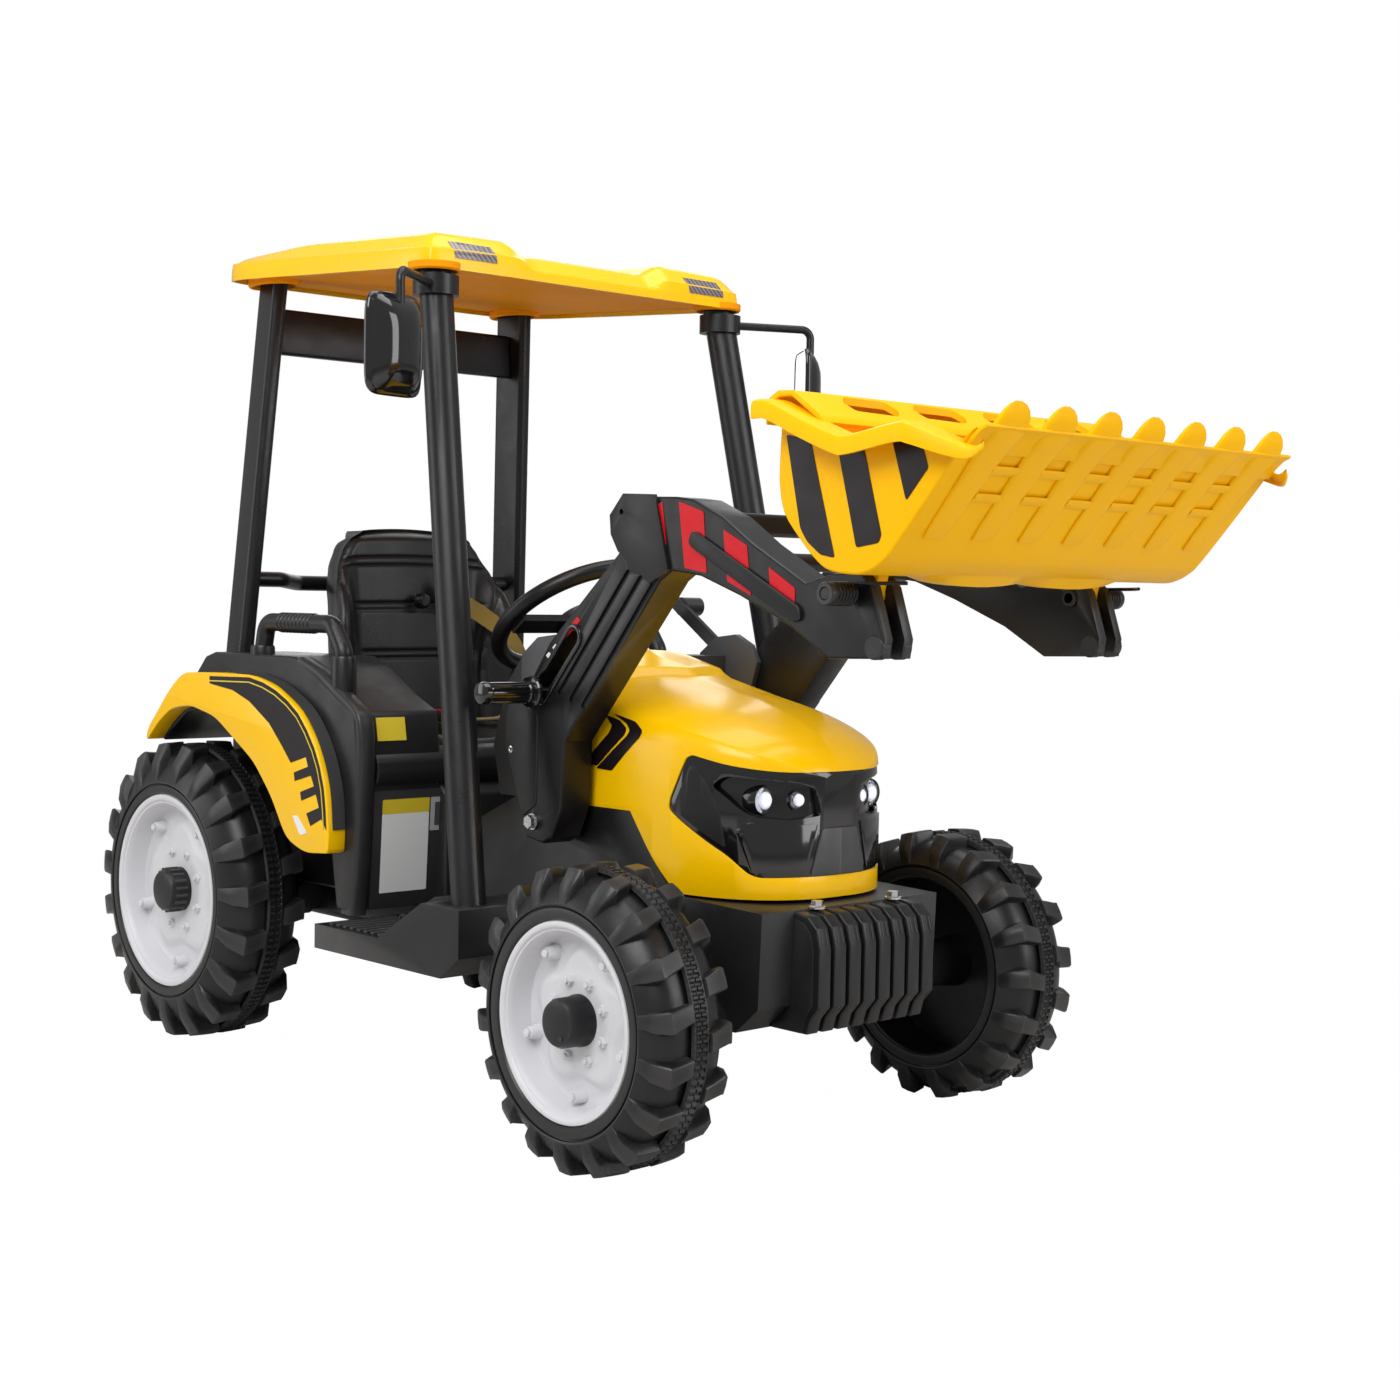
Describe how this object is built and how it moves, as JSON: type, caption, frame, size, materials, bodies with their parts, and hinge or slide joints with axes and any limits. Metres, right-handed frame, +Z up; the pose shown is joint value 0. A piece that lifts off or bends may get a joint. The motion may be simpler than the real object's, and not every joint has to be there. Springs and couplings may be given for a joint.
{
  "type": "ride-on toy tractor with front loader",
  "caption": "Ride-on toy tractor with a canopy roof, a raised front loader bucket, steering front wheels, mirrors and a bucket seat.",
  "frame": {"origin": "on the ground, under the middle of the overall box", "axes": "+X forwards, +Y to the driver's left, +Z up"},
  "size_m": [1.481, 0.72, 1.01],
  "materials": {
    "black_plastic": "satin moulded plastic",
    "yellow_plastic": "glossy moulded plastic",
    "gloss_black": "glossy moulded plastic",
    "tyre_black": "moulded tread",
    "rim_white": "satin moulded plastic",
    "black_tube": "satin powder coat",
    "steel": "zinc plated",
    "lens": "clear lens",
    "mirror_face": "mirror",
    "webbing": "woven strap and black buckle",
    "red_plastic": "glossy",
    "grey_plastic": "satin"
  },
  "bodies": {
    "chassis": {"chassis": "black_plastic", "front_axle_beam": "black_tube", "rear_axle": "steel", "drive_motors": "black_plastic", "battery": "grey_plastic", "seat_box": "black_plastic", "seat_back": "black_plastic", "seat_pan": "black_plastic", "lap_belt": "webbing", "grab_handles": "black_tube", "bonnet": "yellow_plastic", "front_mask": "gloss_black", "headlights": "lens", "dashboard": "black_plastic", "side_covers": "black_plastic", "pivot_tube": "black_tube", "frame_bolts": "steel", "front_weights": "black_plastic", "roof": "yellow_plastic", "roof_crossbar": "black_plastic", "back_rail": "black_tube", "mirror_brackets": "black_tube", "console_right": "black_plastic", "fender_right": "yellow_plastic", "step_right": "black_plastic", "front_post_right": "black_tube", "rear_post_right": "black_tube", "console_left": "black_plastic", "fender_left": "yellow_plastic", "step_left": "black_plastic", "front_post_left": "black_tube", "rear_post_left": "black_tube"},
    "steering": {"steering_wheel": "gloss_black"},
    "horn_buttons": {"horn_buttons": "grey_plastic"},
    "tie_rod": {"tie_rod": "steel"},
    "loader": {"arm_right": "black_plastic", "arm_left": "black_plastic", "elbow_covers": "black_plastic", "arm_cross_members": "black_plastic", "bucket_pins": "black_tube"},
    "bucket": {"bucket": "yellow_plastic", "torsion_springs": "black_tube"},
    "tilt_handle": {"tilt_handle": "gloss_black"},
    "left_lever": {"left_lever": "gloss_black"},
    "start_button": {"start_button": "red_plastic"},
    "pedal": {"pedal": "black_plastic"},
    "knuckle_right": {"knuckle_right": "black_tube"},
    "front_wheel_right": {"front_tyre_right": "tyre_black", "front_rim_right": "rim_white"},
    "rear_wheel_right": {"rear_tyre_right": "tyre_black", "rear_rim_right": "rim_white"},
    "mirror_right": {"mirror_housing_right": "gloss_black", "mirror_glass_right": "mirror_face"},
    "knuckle_left": {"knuckle_left": "black_tube"},
    "front_wheel_left": {"front_tyre_left": "tyre_black", "front_rim_left": "rim_white"},
    "rear_wheel_left": {"rear_tyre_left": "tyre_black", "rear_rim_left": "rim_white"},
    "mirror_left": {"mirror_housing_left": "gloss_black", "mirror_glass_left": "mirror_face"}
  },
  "joints": [
    {"name": "knuckle_right_turn", "type": "hinge", "parent": "chassis", "child": "knuckle_right", "pos_m": [0.28, -0.19, 0.155], "axis": [0, 0, 1], "range_deg": [-15, 15]},
    {"name": "front_wheel_right_spin", "type": "hinge", "parent": "knuckle_right", "child": "front_wheel_right", "pos_m": [0.28, -0.264, 0.155], "axis": [0, 1, 0], "continuous": true},
    {"name": "rear_wheel_right_spin", "type": "hinge", "parent": "chassis", "child": "rear_wheel_right", "pos_m": [-0.55, -0.246, 0.19], "axis": [0, 1, 0], "continuous": true},
    {"name": "mirror_right_swivel", "type": "hinge", "parent": "chassis", "child": "mirror_right", "pos_m": [-0.00439, -0.31622, 0.84], "axis": [0, 0, 1], "range_deg": [-35, 35]},
    {"name": "knuckle_left_turn", "type": "hinge", "parent": "chassis", "child": "knuckle_left", "pos_m": [0.28, 0.19, 0.155], "axis": [0, 0, 1], "range_deg": [-15, 15]},
    {"name": "front_wheel_left_spin", "type": "hinge", "parent": "knuckle_left", "child": "front_wheel_left", "pos_m": [0.28, 0.264, 0.155], "axis": [0, 1, 0], "continuous": true},
    {"name": "rear_wheel_left_spin", "type": "hinge", "parent": "chassis", "child": "rear_wheel_left", "pos_m": [-0.55, 0.246, 0.19], "axis": [0, 1, 0], "continuous": true},
    {"name": "mirror_left_swivel", "type": "hinge", "parent": "chassis", "child": "mirror_left", "pos_m": [-0.02533, 0.3288, 0.84], "axis": [0, 0, 1], "range_deg": [-35, 35]},
    {"name": "steering_turn", "type": "hinge", "parent": "chassis", "child": "steering", "pos_m": [-0.08, 0, 0.55], "axis": [-0.5736, 0, 0.8192], "range_deg": [-45, 45]},
    {"name": "horn_press", "type": "slide", "parent": "steering", "child": "horn_buttons", "axis": [0.5736, 0, -0.8192], "range_m": [0, 0.0015], "stiffness_N_per_m": 400},
    {"name": "tie_rod_shift", "type": "slide", "parent": "chassis", "child": "tie_rod", "axis": [0, 1, 0], "range_m": [-0.014, 0.014]},
    {"name": "loader_lift", "type": "hinge", "parent": "chassis", "child": "loader", "pos_m": [0.065, 0, 0.327], "axis": [0, -1, 0], "range_deg": [-50, 5]},
    {"name": "bucket_tilt", "type": "hinge", "parent": "loader", "child": "bucket", "pos_m": [0.54, 0, 0.581], "axis": [0, 1, 0], "range_deg": [0, 50]},
    {"name": "tilt_handle_slide", "type": "slide", "parent": "loader", "child": "tilt_handle", "axis": [0.6696, 0, 0.7427], "range_m": [0, 0.06]},
    {"name": "left_lever_swing", "type": "hinge", "parent": "chassis", "child": "left_lever", "pos_m": [0.012, 0.1443, 0.514], "axis": [0, 1, 0], "range_deg": [-15, 15]},
    {"name": "start_press", "type": "slide", "parent": "chassis", "child": "start_button", "axis": [0, 1, 0], "range_m": [0, 0.003], "stiffness_N_per_m": 300},
    {"name": "pedal_press", "type": "hinge", "parent": "chassis", "child": "pedal", "pos_m": [-0.104, -0.216, 0.201], "axis": [0, 1, 0], "range_deg": [0, 10], "stiffness_Nm_per_rad": 1.2}
  ],
  "couplings": [
    {"joint": "knuckle_right_turn", "follows": "steering_turn", "ratio": 0.33333},
    {"joint": "knuckle_left_turn", "follows": "steering_turn", "ratio": 0.33333},
    {"joint": "tie_rod_shift", "follows": "steering_turn", "m_per_rad": -0.017333},
    {"joint": "tilt_handle_slide", "follows": "bucket_tilt", "m_per_rad": 0.063}
  ]
}
